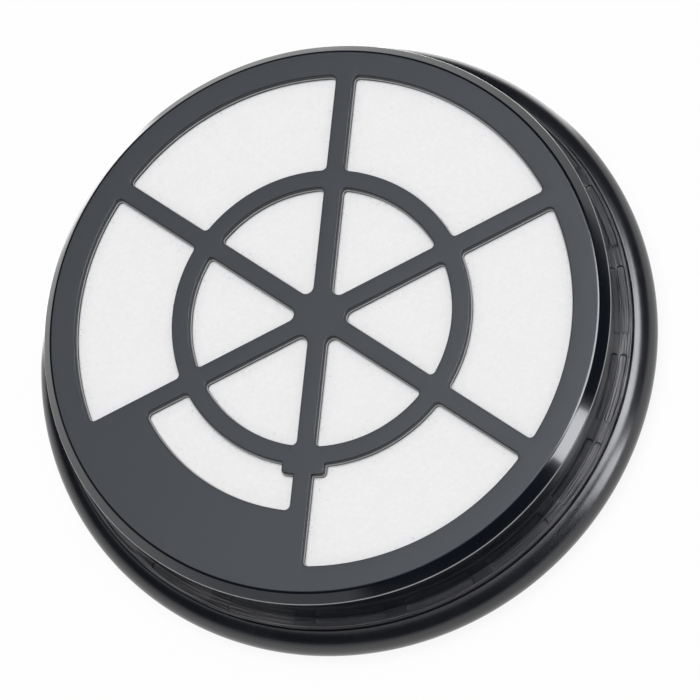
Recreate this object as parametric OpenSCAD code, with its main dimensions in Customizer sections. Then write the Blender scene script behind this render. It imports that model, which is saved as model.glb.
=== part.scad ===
// Round motor filter cartridge of a vacuum cleaner. It lies on its rubber seal with the grille up.
// Origin: centre of the seal's flat underside. +Z is the axis, towards the grille.
// The pad on the grille's ring, and the spoke through it, point to -Y.

/* [Housing wall] */
// Outside diameter of the straight cylindrical wall
wall_d = 144; // [120:1:200]
// Thickness of the wall
wall_t = 2; // [1.4:0.1:3]
// Height of the straight wall, from the collar to the chamfer
wall_h = 14.6; // [8:0.1:30]
// Width of the chamfer between wall and face
chamfer_w = 2.5; // [1:0.1:4]
// Height of the chamfer between wall and face
chamfer_h = 2.65; // [1:0.05:4]
// Rounding where the chamfer meets the wall
chamfer_edge_r = 0.5; // [0.2:0.1:1]
// Rounding where the chamfer meets the face
face_edge_r = 0.35; // [0.1:0.05:0.8]
// Slope inside, from the plate's underside to the wall
inner_chamfer = 2; // [1:0.1:3]
// Height of the wall's lower edge above the surface the filter lies on
skirt_rise = 1; // [0.6:0.1:1.6]

/* [Grille] */
// Thickness of the grille plate
plate_t = 2.2; // [1.5:0.1:3]
// Number of spokes
spoke_count = 6; // [5:1:8]
// Width of a spoke
spoke_w = 4.5; // [3:0.1:7]
// Inside diameter of the ring that crosses the spokes
ring_d = 66.6; // [50:0.2:76]
// Radial width of that ring
ring_w = 4.5; // [3:0.1:7]
// Flat rim between the outer windows and the edge of the face
rim_w = 6.5; // [5:0.1:10]
// Radial width of the narrow window in the blank sector
slot_w = 11.7; // [5:0.1:16]
// Rounding of the window corners at the hub
hub_fillet = 2; // [0.5:0.1:3]
// Rounding of the window corners inside the ring
ring_fillet = 1.3; // [0.4:0.1:2.5]
// Rounding of the corners of the outer windows
window_fillet = 1; // [0.4:0.1:2]
// Width of the pad on the ring, across the spoke
pad_w = 10.7; // [8:0.1:16]
// How far the pad stands out of the ring
pad_h = 2.6; // [1.5:0.1:4]
// Rounding of the pad's corners
pad_fillet = 0.9; // [0.3:0.1:1.2]

/* [Collar] */
// Width of the collar from the wall to its outer face
collar_w = 2.75; // [2.6:0.05:4]
// Height of the collar's flat top above the crest of the seal
collar_rise = 1.55; // [1:0.05:3]
// Width of the step round the collar's outer edge
step_w = 0.4; // [0.2:0.05:0.6]
// Depth of that step
step_h = 0.45; // [0.2:0.05:0.8]
// Number of ribs that bridge the collar's groove
rib_count = 20; // [12:1:24]
// Width of a rib at the middle of the groove
rib_w = 5.3; // [3:0.1:8]
// Width of the groove between wall and rim
groove_w = 1.8; // [1.2:0.1:1.9]
// Flat left between the wall and the groove
groove_inset = 0.2; // [0.1:0.05:0.4]
// Depth of the groove
groove_depth = 2.35; // [1.4:0.05:2.6]
// How far the groove's inner side leans out towards its floor
groove_draft = 0.15; // [0.1:0.05:0.3]
// Thickness of the collar under the groove
flange_t = 1.4; // [1:0.1:2]
// Thickness of the tongue that holds the seal
tongue_t = 0.9; // [0.6:0.1:1.2]
// Height of that tongue
tongue_h = 2.4; // [1:0.1:3]
// Radius of the retaining bead low on the wall
bead_r = 0.6; // [0.3:0.1:0.8]

/* [Seal] */
// How far the seal's seat lies inside the outside of the straight wall
seat_step = 0.8; // [0.6:0.05:0.9]
// Radius of the round seal section
seal_r = 5.9; // [5:0.1:8]
// How far the section's underside is cut flat
seal_flat = 0.4; // [0.2:0.05:0.8]
// How far the section's middle lies inside the collar's outer face
seal_inset = 0.65; // [0.2:0.05:1]
// Gap between the collar's outer face and the rubber
seal_gap = 0.25; // [0.1:0.05:0.4]

/* [Filter pack] */
// Thickness of the cover fleece
fleece_t = 1; // [0.5:0.1:2]
// Gap between the fleece's edge and the inner slope
fleece_gap = 0.2; // [0.1:0.05:1]
// Height of the pleat tips at the back above the surface the filter lies on
pack_rise = 3.6; // [2.6:0.1:8]
// Distance from one pleat to the next
pleat_pitch = 3.6; // [3:0.1:6]
// Thickness of the pleated sheet
media_t = 0.45; // [0.3:0.05:0.6]
// Half width of a pleat's round tip
tip_half = 0.65; // [0.62:0.01:0.8]
// Radial width of the adhesive ring round the pack
potting_w = 4; // [3:0.1:6]
// How far the adhesive ring stands proud of the pleat tips at the back
potting_proud = 0.6; // [0.2:0.1:1]
// Depth of the hollow surface of the adhesive ring
meniscus = 0.5; // [0.2:0.05:0.8]
// Distance between the lines of adhesive that space the pleats
spacer_pitch = 25; // [18:1:36]
// Width of a line of adhesive
spacer_w = 1.6; // [1:0.1:3]
// Thickness of a line of adhesive over the pleat tips
spacer_cap = 0.4; // [0.2:0.05:0.8]
// Depth to which a line of adhesive runs down between the pleats
spacer_depth = 2.5; // [1:0.1:4]

/* [Hidden] */
$fn = 96;
fine = 32;
// Reach of a cutting shape past the face that it opens
past = 1;
// How far the circle of a rounding runs past the sides that it joins
bite = 0.01;
// Stretch over which the grille plate and the turned housing share material
lap = 1;

// Radii of the housing
wall_r = wall_d / 2;
inner_r = wall_r - wall_t;
seat_r = wall_r - seat_step;
face_r = wall_r - chamfer_w;
plate_r = inner_r - inner_chamfer;
collar_r = wall_r + collar_w;

// Heights, from the seal's flat underside up
seal_z = seal_r - seal_flat;
crest_z = seal_z + seal_r;
collar_z = crest_z + collar_rise;
chamfer_z = collar_z + wall_h;
face_z = chamfer_z + chamfer_h;
plate_z = face_z - plate_t;
flange_z = collar_z - groove_depth - flange_t;
bead_z = (skirt_rise + flange_z) / 2 - bead_r;

// Seal section and the tongue in it
seal_mid_r = collar_r - seal_inset;
tongue_mid_r = (wall_r + collar_r) / 2;

// Grille
spoke_step = 360 / spoke_count;
spoke_half = spoke_w / 2;
ring_in_r = ring_d / 2;
ring_out_r = ring_in_r + ring_w;
window_r = face_r - rim_w;
slot_r = ring_out_r + slot_w;
pad_r = ring_out_r + pad_h;
pad_angle = -90;
blank_index = spoke_count - 1;

// Groove of the collar
groove_r = groove_w / 2;
groove_mid_r = wall_r + groove_inset + groove_r;
rib_step = 360 / rib_count;
rib_half_angle = (rib_w / 2 + groove_r) / groove_mid_r * 180 / PI;

// Filter pack
fleece_z = plate_z - fleece_t;
tips_z = fleece_z - spacer_cap;
pack_r = inner_r - potting_w;
pleat_count = floor((2 * pack_r - 2 * tip_half) / pleat_pitch);
tip_drop = 0.35;
tip_flat = 0.3;
hollow_half = tip_half - media_t;
pleat_tips = [for (i = [0 : pleat_count - 1]) (i - (pleat_count - 1) / 2) * pleat_pitch];
potting_z = pack_rise - potting_proud;
spacer_lines = floor((pack_r - spacer_w) / spacer_pitch);

function polar(r, a) = [r * cos(a), r * sin(a)];

// Centre of a rounding between an arc about the origin and a line at distance w from the X axis.
// side is 1 where the rounded shape lies beyond the line, -1 where it lies within it.
// reach is -1 where the shape lies inside the arc, 1 where it lies outside.
function rounding_centre(arc_r, w, r, side, reach) =
    let (y = w + side * r)
    [sqrt(pow(arc_r + reach * r, 2) - y * y), y];

// The sliver to take off a corner: what is left of it beyond a circle of radius r about c.
// n1 and n2 point from c to the two sides of the corner, and the circle bites a little into both.
module corner_sliver(c, r, n1, n2) {
    far = r + past / 2;
    difference() {
        polygon([c, c + far * n1, c + far * (n1 + n2) / (1 + n1 * n2), c + far * n2]);
        translate(c) circle(r + bite, $fn = fine);
    }
}

// Corner between a spoke's side and an arc, seen with the spoke along X
module arc_corner(arc_r, w, r, side, reach) {
    c = rounding_centre(arc_r, w, r, side, reach);
    corner_sliver(c, r, [0, -side], -reach * c / norm(c));
}

// Space between two spokes, the first along a1 and the next one spoke_step on
module spoke_gap(a1, reach_r) {
    apex = polar(spoke_half / sin(spoke_step / 2), a1 + spoke_step / 2);
    polygon([apex, apex + polar(reach_r, a1), apex + polar(reach_r, a1 + spoke_step)]);
}

// Does something to both sides of the space between two spokes
module both_sides(a1) {
    rotate(a1) children();
    rotate(a1 + spoke_step) mirror([0, 1]) children();
}

// Window between the hub and the ring
module inner_window(a1) {
    half = spoke_step / 2;
    c = polar((spoke_half + hub_fillet) / sin(half), a1 + half);
    difference() {
        intersection() {
            circle(ring_in_r);
            spoke_gap(a1, 2 * ring_in_r);
        }
        both_sides(a1) arc_corner(ring_in_r, spoke_half, ring_fillet, 1, -1);
        corner_sliver(c, hub_fillet, polar(1, a1 - 90), polar(1, a1 + spoke_step + 90));
    }
}

// Window between the ring and an arc of radius r_out
module outer_window(a1, r_out) {
    difference() {
        intersection() {
            difference() {
                circle(r_out);
                circle(ring_out_r);
            }
            spoke_gap(a1, 2 * r_out);
        }
        both_sides(a1) arc_corner(r_out, spoke_half, window_fillet, 1, -1);
        both_sides(a1) arc_corner(ring_out_r, spoke_half, window_fillet, 1, 1);
    }
}

// Pad on the ring's outside, drawn along X
module ring_pad() {
    difference() {
        intersection() {
            circle(pad_r);
            translate([ring_out_r - lap, -pad_w / 2]) square([pad_h + 2 * lap, pad_w]);
        }
        arc_corner(pad_r, pad_w / 2, pad_fillet, -1, -1);
        mirror([0, 1]) arc_corner(pad_r, pad_w / 2, pad_fillet, -1, -1);
    }
}

// Outline of the grille plate
module grille_outline() {
    difference() {
        circle(plate_r);
        for (i = [0 : spoke_count - 1]) {
            inner_window(pad_angle + i * spoke_step);
            outer_window(pad_angle + i * spoke_step, i == blank_index ? slot_r : window_r);
        }
    }
    rotate(pad_angle) ring_pad();
}

// Section of the housing's shell: rim of the face, chamfer, wall and skirt
module shell_section() {
    run = norm([chamfer_w, chamfer_h]);
    dir = [chamfer_w, -chamfer_h] / run;
    // Angles by which the outline turns at the two edges of the chamfer
    turn_top = atan2(chamfer_h, chamfer_w);
    cut_top = face_edge_r * tan(turn_top / 2);
    cut_low = chamfer_edge_r * tan((90 - turn_top) / 2);
    top = [face_r, face_z];
    low = [wall_r, chamfer_z];
    polygon([
        [plate_r - lap, face_z],
        top - [cut_top, 0],
        top + cut_top * dir,
        low - cut_low * dir,
        low - [0, cut_low],
        [wall_r, flange_z + flange_t / 2],
        [seat_r, flange_z + flange_t / 2],
        [seat_r, skirt_rise],
        [inner_r, skirt_rise],
        [inner_r, plate_z - inner_chamfer],
        [plate_r, plate_z],
        [plate_r - lap, plate_z]
    ]);
    translate(top - [cut_top, face_edge_r]) circle(face_edge_r, $fn = fine);
    translate(low - [chamfer_edge_r, cut_low]) circle(chamfer_edge_r, $fn = fine);
}

// Section of the collar with its step, the tongue under it and the retaining bead
module collar_section() {
    polygon([
        [wall_r - lap, collar_z],
        [collar_r - step_w, collar_z],
        [collar_r - step_w, collar_z - step_h],
        [collar_r, collar_z - step_h],
        [collar_r, flange_z],
        [wall_r - lap, flange_z]
    ]);
    seal_seat();
}

// What the housing pushes into the seal
module seal_seat() {
    translate([tongue_mid_r - tongue_t / 2, flange_z - tongue_h]) square([tongue_t, tongue_h + flange_t / 2]);
    translate([seat_r, bead_z]) circle(bead_r, $fn = fine);
}

// Outline of one stretch of groove between two ribs, with round ends; it runs past the inner side
module groove_outline() {
    from = rib_half_angle;
    to = rib_step - rib_half_angle;
    reach = 2 * collar_r;
    intersection() {
        difference() {
            circle(groove_mid_r + groove_r);
            circle(groove_mid_r - groove_r - groove_inset);
        }
        polygon([[0, 0], polar(reach, from), polar(reach, to)]);
    }
    for (a = [from, to]) translate(polar(groove_mid_r, a)) circle(groove_r + bite, $fn = fine);
}

// Cut that leaves the ribs standing, with an inner side that leans out towards the floor
module groove_cut() {
    inner = groove_mid_r - groove_r;
    floor_z = collar_z - groove_depth;
    intersection() {
        rotate_extrude() polygon([
            [inner + groove_draft, floor_z],
            [collar_r, floor_z],
            [collar_r, collar_z + past],
            [inner, collar_z + past],
            [inner, collar_z]
        ]);
        translate([0, 0, floor_z - past]) linear_extrude(groove_depth + 2 * past) {
            for (i = [0 : rib_count - 1]) rotate(i * rib_step) groove_outline();
        }
    }
}

// Black housing in one moulding: grille, chamfer, wall, ribbed collar and seat of the seal
module front_frame() {
    color([0.25, 0.26, 0.28]) difference() {
        union() {
            translate([0, 0, plate_z]) linear_extrude(plate_t) grille_outline();
            rotate_extrude() {
                shell_section();
                collar_section();
            }
        }
        groove_cut();
    }
}

// Rubber ring with a round outside, a flat underside and a seat that grips the collar
module seal_ring() {
    color([0.07, 0.07, 0.075]) rotate_extrude() difference() {
        intersection() {
            translate([seal_mid_r, seal_z]) circle(seal_r);
            translate([seat_r, 0]) square([2 * seal_r, 2 * seal_r]);
        }
        translate([wall_r - past, flange_z]) square([collar_w + seal_gap + past, 2 * seal_r]);
        seal_seat();
    }
}

// White nonwoven disc behind the grille
module cover_fleece() {
    color([0.93, 0.93, 0.92]) translate([0, 0, fleece_z]) cylinder(h = fleece_t, r = plate_r - fleece_gap);
}

// Upper side of the sheet over the pleat whose tip is at x, from left to right
function sheet_over(x) = [
    [x - pleat_pitch / 2 + hollow_half, pack_rise + media_t],
    [x - tip_half, tips_z - tip_drop],
    [x - tip_flat, tips_z],
    [x + tip_flat, tips_z],
    [x + tip_half, tips_z - tip_drop],
    [x + pleat_pitch / 2 - hollow_half, pack_rise + media_t]
];

// Underside of the sheet below the same pleat
function sheet_under(x) = [
    [x - pleat_pitch / 2 + tip_flat, pack_rise],
    [x - pleat_pitch / 2 + tip_half, pack_rise + tip_drop],
    [x - hollow_half, tips_z - media_t],
    [x + hollow_half, tips_z - media_t],
    [x + pleat_pitch / 2 - tip_half, pack_rise + tip_drop],
    [x + pleat_pitch / 2 - tip_flat, pack_rise]
];

// Section above one side of the sheet. The sheet's ends run out flat at end_z into the adhesive ring.
module space_above(sheet_side, end_z) {
    far = pack_r + past;
    top = face_z + past;
    polygon(concat([[-far, top], [-far, end_z]], sheet_side, [[far, end_z], [far, top]]));
}

module above_sheet() {
    space_above([for (x = pleat_tips) each sheet_over(x)], pack_rise + media_t);
}

module above_underside() {
    space_above([for (x = pleat_tips) each sheet_under(x)], pack_rise);
}

// Stands a section across the pleats up at y, thickness t along Y, trimmed to the pack's circle
module across_pack(y, t) {
    intersection() {
        translate([0, y, 0]) rotate([90, 0, 0]) linear_extrude(t, center = true) children();
        cylinder(h = face_z, r = pack_r);
    }
}

// White pleated sheet, folded along Y and trimmed round
module pleated_media() {
    color([0.95, 0.945, 0.92]) across_pack(0, 2 * pack_r + 2 * past) difference() {
        above_underside();
        above_sheet();
    }
}

// Section of a line of adhesive on the front tips, up to the fleece
module front_spacer() {
    intersection() {
        above_sheet();
        translate([-pack_r, tips_z - spacer_depth]) square([2 * pack_r, spacer_depth + spacer_cap]);
    }
}

// Section of a line of adhesive on the back tips
module back_spacer() {
    difference() {
        translate([-pack_r, pack_rise - spacer_cap]) square([2 * pack_r, spacer_depth + spacer_cap]);
        above_underside();
    }
}

// White lines of adhesive that run across the pleats, over the tips and a little way between them
module spacer_beads() {
    color([0.97, 0.96, 0.93]) for (i = [-spacer_lines : spacer_lines]) {
        across_pack(i * spacer_pitch, spacer_w) {
            front_spacer();
            back_spacer();
        }
    }
}

// Adhesive ring between the pack and the wall, hollow at its free surface
module potting_ring() {
    hollow_r = (pow(potting_w / 2, 2) + meniscus * meniscus) / (2 * meniscus);
    color([0.9, 0.88, 0.8]) rotate_extrude() difference() {
        translate([pack_r, potting_z]) square([potting_w, fleece_z - potting_z]);
        translate([pack_r + potting_w / 2, potting_z + meniscus - hollow_r]) circle(hollow_r);
        polygon([[plate_r, plate_z], [inner_r + past, plate_z], [inner_r, plate_z - inner_chamfer]]);
    }
}

front_frame();
seal_ring();
cover_fleece();
pleated_media();
spacer_beads();
potting_ring();
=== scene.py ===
"""Look of a round vacuum motor filter: dark spoked moulding, rubber seal, white fleece and pleated pack.

Lengths in the dataclasses are millimetres in the part's frame: +Z is the filter's axis, towards the grille,
and the origin is the centre of the seal's flat underside.
"""

import logging
import math
from collections.abc import Callable, Iterator, Sequence
from contextlib import contextmanager
from dataclasses import dataclass, field
from enum import Enum
from typing import Any

import bpy
from mathutils import Matrix, Vector

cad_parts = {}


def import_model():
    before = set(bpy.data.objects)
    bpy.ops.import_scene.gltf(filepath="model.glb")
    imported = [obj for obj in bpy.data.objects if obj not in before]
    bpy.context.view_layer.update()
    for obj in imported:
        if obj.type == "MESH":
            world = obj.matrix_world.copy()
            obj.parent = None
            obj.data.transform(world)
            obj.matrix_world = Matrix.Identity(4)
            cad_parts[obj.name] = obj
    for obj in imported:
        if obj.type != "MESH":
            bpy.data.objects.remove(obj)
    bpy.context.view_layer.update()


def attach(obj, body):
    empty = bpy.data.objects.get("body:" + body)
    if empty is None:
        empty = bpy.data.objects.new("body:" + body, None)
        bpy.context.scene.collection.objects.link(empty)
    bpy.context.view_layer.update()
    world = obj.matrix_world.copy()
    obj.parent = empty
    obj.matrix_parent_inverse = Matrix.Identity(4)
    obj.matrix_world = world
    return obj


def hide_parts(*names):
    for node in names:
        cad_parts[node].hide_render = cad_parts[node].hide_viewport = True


LOG = logging.getLogger("motor_filter")
MM = 0.001
BODY = "root"
Point = tuple[float, float]
Loop = list[Point]


class SelectBy(Enum):
    """What a selection in edit mode is made of."""

    EDGES = "EDGE"
    FACES = "FACE"


# Shader building


class Wire:
    """A socket that can be used in Python expressions; each operator adds its Math node."""

    def __init__(self, sheet: "NodeSheet", socket: bpy.types.NodeSocket) -> None:
        """Keeps the sheet that the socket is on."""
        self.sheet = sheet
        self.socket = socket

    def _math(self, operation: str, first: "Wire | float", second: "Wire | float") -> "Wire":
        """Adds one Math node.

        Args:
            operation: The Math node's operation.
            first: Its first value.
            second: Its second value.

        Returns:
            The node's result.
        """
        node = self.sheet.make("ShaderNodeMath", {"operation": operation}, {0: first, 1: second})
        return self.sheet.wire(node)

    def __add__(self, other: "Wire | float") -> "Wire":
        """self + other."""
        return self._math("ADD", self, other)

    __radd__ = __add__

    def __sub__(self, other: "Wire | float") -> "Wire":
        """self - other."""
        return self._math("SUBTRACT", self, other)

    def __rsub__(self, other: "Wire | float") -> "Wire":
        """other - self."""
        return self._math("SUBTRACT", other, self)

    def __mul__(self, other: "Wire | float") -> "Wire":
        """self * other."""
        return self._math("MULTIPLY", self, other)

    __rmul__ = __mul__

    def __truediv__(self, other: "Wire | float") -> "Wire":
        """self / other."""
        return self._math("DIVIDE", self, other)

    def __rtruediv__(self, other: "Wire | float") -> "Wire":
        """other / self."""
        return self._math("DIVIDE", other, self)

    def lower_of(self, other: "Wire | float") -> "Wire":
        """The smaller of the two."""
        return self._math("MINIMUM", self, other)

    def higher_of(self, other: "Wire | float") -> "Wire":
        """The larger of the two."""
        return self._math("MAXIMUM", self, other)

    def ramp(self, low: float, high: float) -> "Wire":
        """0 up to low, 1 from high, with a smooth step between; low may lie above high."""
        node = self.sheet.make(
            "ShaderNodeMapRange",
            {"interpolation_type": "SMOOTHSTEP"},
            {"Value": self, "From Min": min(low, high), "From Max": max(low, high)},
        )
        result = self.sheet.wire(node)
        return result if low < high else 1.0 - result


class NodeSheet:
    """A node tree under construction."""

    def __init__(self, tree: bpy.types.NodeTree) -> None:
        """Starts from an empty tree."""
        self.tree = tree
        tree.nodes.clear()

    def make(
        self,
        kind: str,
        settings: dict[str, Any] | None = None,
        sockets: dict[str | int, Any] | None = None,
    ) -> bpy.types.Node:
        """Makes any node.

        Args:
            kind: The node's type.
            settings: Its properties, set first; "stops" is a list of (place, colour) for a colour ramp.
            sockets: Values or wires for its inputs, by name or number.

        Returns:
            The node.
        """
        node = self.tree.nodes.new(kind)
        for name, value in (settings or {}).items():
            if name == "stops":
                self._set_stops(node.color_ramp, value)
            else:
                setattr(node, name, value)
        for name, value in (sockets or {}).items():
            if isinstance(value, Wire):
                self.tree.links.new(value.socket, node.inputs[name])
            else:
                node.inputs[name].default_value = value
        return node

    @staticmethod
    def _set_stops(band: bpy.types.ColorRamp, stops: Sequence[tuple[float, tuple[float, ...]]]) -> None:
        """Puts the given stops on a colour ramp."""
        while len(band.elements) < len(stops):
            band.elements.new(1.0)
        for element, (place, colour) in zip(band.elements, stops):
            element.position = place
            element.color = (*colour, 1.0)

    def wire(self, node: bpy.types.Node, output: str | int = 0) -> Wire:
        """One of a node's outputs as a wire."""
        return Wire(self, node.outputs[output])

    def place(self, scale: tuple[float, float, float] = (1.0, 1.0, 1.0)) -> Wire:
        """The piece's own coordinates in metres, stretched by scale."""
        where = self.wire(self.make("ShaderNodeTexCoord"), "Object")
        return self.wire(self.make("ShaderNodeMapping", sockets={"Vector": where, "Scale": scale}))

    def split(self, vector: Wire) -> tuple[Wire, Wire, Wire]:
        """X, Y and Z of a vector."""
        node = self.make("ShaderNodeSeparateXYZ", sockets={0: vector})
        return self.wire(node, 0), self.wire(node, 1), self.wire(node, 2)

    def noise(self, vector: Wire, size: float, detail: float = 3.0, distortion: float = 0.0) -> Wire:
        """Soft noise about 0.5 whose grains are about size millimetres."""
        node = self.make(
            "ShaderNodeTexNoise",
            sockets={"Vector": vector, "Scale": 1 / (size * MM), "Detail": detail, "Distortion": distortion},
        )
        return self.wire(node)

    def radius(self) -> Wire:
        """Distance from the axis in metres."""
        x, y, _ = self.split(self.place())
        return self.wire(self.make("ShaderNodeMath", {"operation": "POWER"}, {0: x * x + y * y, 1: 0.5}))

    def towards(self, degrees: float) -> Wire:
        """Cosine of the angle round the axis between a place and the given direction."""
        x, y, _ = self.split(self.place())
        side_x, side_y = polar(1.0, degrees)
        return (x * side_x + y * side_y) / self.radius()

    def turned_place(self, slowness: float) -> Wire:
        """Coordinates that change fast with the distance from the axis and slowly round it."""
        x, y, _ = self.split(self.place((slowness,) * 3))
        return self.wire(self.make("ShaderNodeCombineXYZ", sockets={0: self.radius(), 1: x, 2: y}))

    def tint(self, factor: Wire, first: "Wire | Sequence[float]", second: "Wire | Sequence[float]") -> Wire:
        """A colour between first and second, which are colours or wires of colours."""
        ends = [end if isinstance(end, Wire) else (*end, 1.0) for end in (first, second)]
        node = self.make("ShaderNodeMix", {"data_type": "RGBA"}, {"Factor": factor, 6: ends[0], 7: ends[1]})
        return self.wire(node, 2)

    def bump(self, height: Wire, depth: float, strength: float = 1.0, under: Wire | None = None) -> Wire:
        """A normal from a height field of 0 to 1 that stands for depth millimetres."""
        sockets: dict[str | int, Any] = {"Height": height, "Distance": depth * MM, "Strength": strength}
        if under is not None:
            sockets["Normal"] = under
        return self.wire(self.make("ShaderNodeBump", sockets=sockets))


@dataclass(frozen=True)
class Finish:
    """A surface finish that becomes one material."""

    name: str
    colour: tuple[float, float, float]
    roughness: float
    specular: float = 0.5

    def surface(self, sheet: NodeSheet) -> dict[str | int, Any]:
        """The sockets that this finish drives; a plain finish drives none.

        Args:
            sheet: The material's node tree.

        Returns:
            Values or wires for the surface shader's sockets.
        """
        return {}

    def material(self) -> bpy.types.Material:
        """Builds the material.

        Returns:
            The material, ready for a slot.
        """
        material = bpy.data.materials.new(self.name)
        material.use_nodes = True
        sheet = NodeSheet(material.node_tree)
        sockets: dict[str | int, Any] = {
            "Base Color": (*self.colour, 1.0),
            "Roughness": self.roughness,
            "Specular IOR Level": self.specular,
        }
        sockets.update(self.surface(sheet))
        shader = sheet.make("ShaderNodeBsdfPrincipled", sockets=sockets)
        sheet.make("ShaderNodeOutputMaterial", sockets={"Surface": sheet.wire(shader)})
        return material


@dataclass(frozen=True)
class MouldedPlastic(Finish):
    """Black polished plastic with a satin grain on the grille face and a scuffed collar, with painted highlights,
    sheen and light on its edges, collar lines and recesses.
    """

    face_colour: tuple[float, float, float] = (0.0455, 0.0495, 0.058)
    rim_colour: tuple[float, float, float] = (0.0215, 0.022, 0.0285)
    # Tint below the collar's top: partly dust, partly painted light on the recess floors.
    slot_dust_and_light_colour: tuple[float, float, float] = (0.048, 0.049, 0.056)
    polish: float = 0.45
    plate_r: float = 67.0
    face_z: float = 30.2
    chamfer_z: float = 27.55
    face_roughness: float = 0.32
    rim_z: float = 12.95
    step_r: float = 74.35
    rim_roughness: float = 0.34
    # Pale tint of the chamfer's foot and the collar's lip: painted highlights.
    edge_highlight_colour: tuple[float, float, float] = (0.32, 0.32, 0.325)
    edge_roughness: float = 0.45
    ledge_z: float = 28.75
    ledge_colour: tuple[float, float, float] = (0.34, 0.345, 0.35)
    grain: float = 0.16
    grain_depth: float = 0.01
    scuff: float = 0.3
    scuff_depth: float = 0.22
    # Directions and reach of the painted sheen on the collar's turned lines, then its colour.
    sheen_sides: tuple[tuple[float, float], ...] = ((-122.0, 0.8), (-16.0, 0.9))
    sheen_line_colour: tuple[float, float, float] = (0.14, 0.14, 0.148)

    def surface(self, sheet: NodeSheet) -> dict[str | int, Any]:
        """Satin on the face, polish on chamfer and wall, fine turned lines on the collar, a little dust, and painted
        highlights on the edges, painted sheen on the lines and painted light in the recesses.

        Args:
            sheet: The material's node tree.

        Returns:
            Base Color, Roughness, Coat Weight and Normal.
        """
        where = sheet.place()
        height = sheet.split(where)[2]
        on_face = height.ramp((self.face_z - 0.04) * MM, (self.face_z - 0.005) * MM)
        on_rim = height.ramp((self.rim_z + 0.06) * MM, (self.rim_z + 0.01) * MM)
        outside = sheet.radius().ramp(self.plate_r * MM, (self.plate_r + 0.5) * MM)
        on_chamfer = outside * (1.0 - on_face) * height.ramp((self.chamfer_z - 0.8) * MM, self.chamfer_z * MM)
        in_window = (1.0 - outside) * (1.0 - on_face)
        on_ledge = height.ramp((self.ledge_z - 0.06) * MM, (self.ledge_z - 0.03) * MM)
        on_ledge = in_window * on_ledge * height.ramp((self.ledge_z + 0.03) * MM, self.ledge_z * MM)
        cloud = sheet.noise(where, 28.0, 2.0, 0.4)
        smear = sheet.noise(sheet.place((1.0, 1.0, 0.25)), 7.0, 3.0, 0.8)
        lines = sheet.noise(sheet.turned_place(0.02), self.scuff, 2.0)
        dust = sheet.noise(where, 0.55, 1.0).ramp(0.74, 0.8)
        colour = sheet.tint(on_face, self.colour, self.face_colour)
        colour = sheet.tint(on_rim, colour, self.rim_colour)
        colour = sheet.tint(on_ledge, colour, self.ledge_colour)
        # Recess floors and everything below the collar's top are tinted lighter: partly dust, partly painted light
        # where the recesses lie in shade.
        in_slot = height.ramp(self.rim_z * MM, (self.rim_z - 0.5) * MM)
        colour = sheet.tint(in_slot * (lines * 0.5 + 0.6), colour, self.slot_dust_and_light_colour)
        colour = sheet.tint(cloud * 0.14 + lines * on_rim * 0.2, colour, (0.0, 0.0, 0.0))
        # Painted highlight: a pale line along the rounded foot of the chamfer.
        edge_highlight = outside * height.ramp((self.chamfer_z - 0.17) * MM, (self.chamfer_z - 0.09) * MM)
        edge_highlight = edge_highlight * height.ramp((self.chamfer_z + 0.19) * MM, (self.chamfer_z + 0.09) * MM)
        # Painted sheen: turned lines drawn lighter only on the collar's sides where more light falls.
        for side, least in self.sheen_sides:
            sheen_lines = on_rim * sheet.towards(side).ramp(least, 0.97) * lines.ramp(0.45, 0.62)
            colour = sheet.tint(sheen_lines, colour, self.sheen_line_colour)
        # Painted highlight: a fainter pale line on the collar's outer lip, mixed in with the chamfer's line.
        lip = sheet.radius().ramp((self.step_r - 0.14) * MM, (self.step_r - 0.06) * MM)
        lip = lip * on_rim * height.ramp((self.rim_z - 0.12) * MM, (self.rim_z - 0.04) * MM)
        colour = sheet.tint((edge_highlight + lip * 0.5) * (smear * 0.8 + 0.5), colour, self.edge_highlight_colour)
        gloss = self.roughness + (smear - 0.5) * 0.05 + (cloud - 0.5) * 0.04
        satin = on_face * (self.face_roughness - self.roughness) + on_rim * (self.rim_roughness - self.roughness)
        satin = satin + in_window * (self.edge_roughness - self.roughness)
        grain = sheet.noise(where, self.grain, 2.0)
        soft = sheet.bump(sheet.noise(where, 11.0, 1.0), 0.01)
        scuffed = sheet.bump(lines * on_rim, self.scuff_depth, 1.0, soft)
        return {
            "Base Color": sheet.tint(dust * 0.05, colour, (0.5, 0.5, 0.5)),
            "Roughness": gloss + satin,
            "Coat Weight": on_chamfer * self.polish,
            "Normal": sheet.bump(grain * on_face, self.grain_depth, 1.0, scuffed),
        }


@dataclass(frozen=True)
class SealRubber(Finish):
    """Black rubber with a fine skin, faint bloom and a little dust."""

    def surface(self, sheet: NodeSheet) -> dict[str | int, Any]:
        """Uneven sheen and a skin of small grains.

        Args:
            sheet: The material's node tree.

        Returns:
            Base Color, Roughness and Normal.
        """
        where = sheet.place()
        bloom = sheet.noise(where, 9.0, 3.0, 0.6)
        fine = sheet.noise(where, 0.35, 3.0)
        specks = sheet.noise(where, 0.5, 1.0).ramp(0.76, 0.82)
        lighter = tuple(c * 1.4 + 0.001 for c in self.colour)
        colour = sheet.tint(bloom, self.colour, lighter)
        return {
            "Base Color": sheet.tint(specks * 0.08, colour, (0.45, 0.45, 0.44)),
            "Roughness": self.roughness + (bloom - 0.5) * 0.12 + (fine - 0.5) * 0.06,
            "Normal": sheet.bump(fine, 0.003, 1.0, sheet.bump(bloom, 0.03)),
        }


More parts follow.
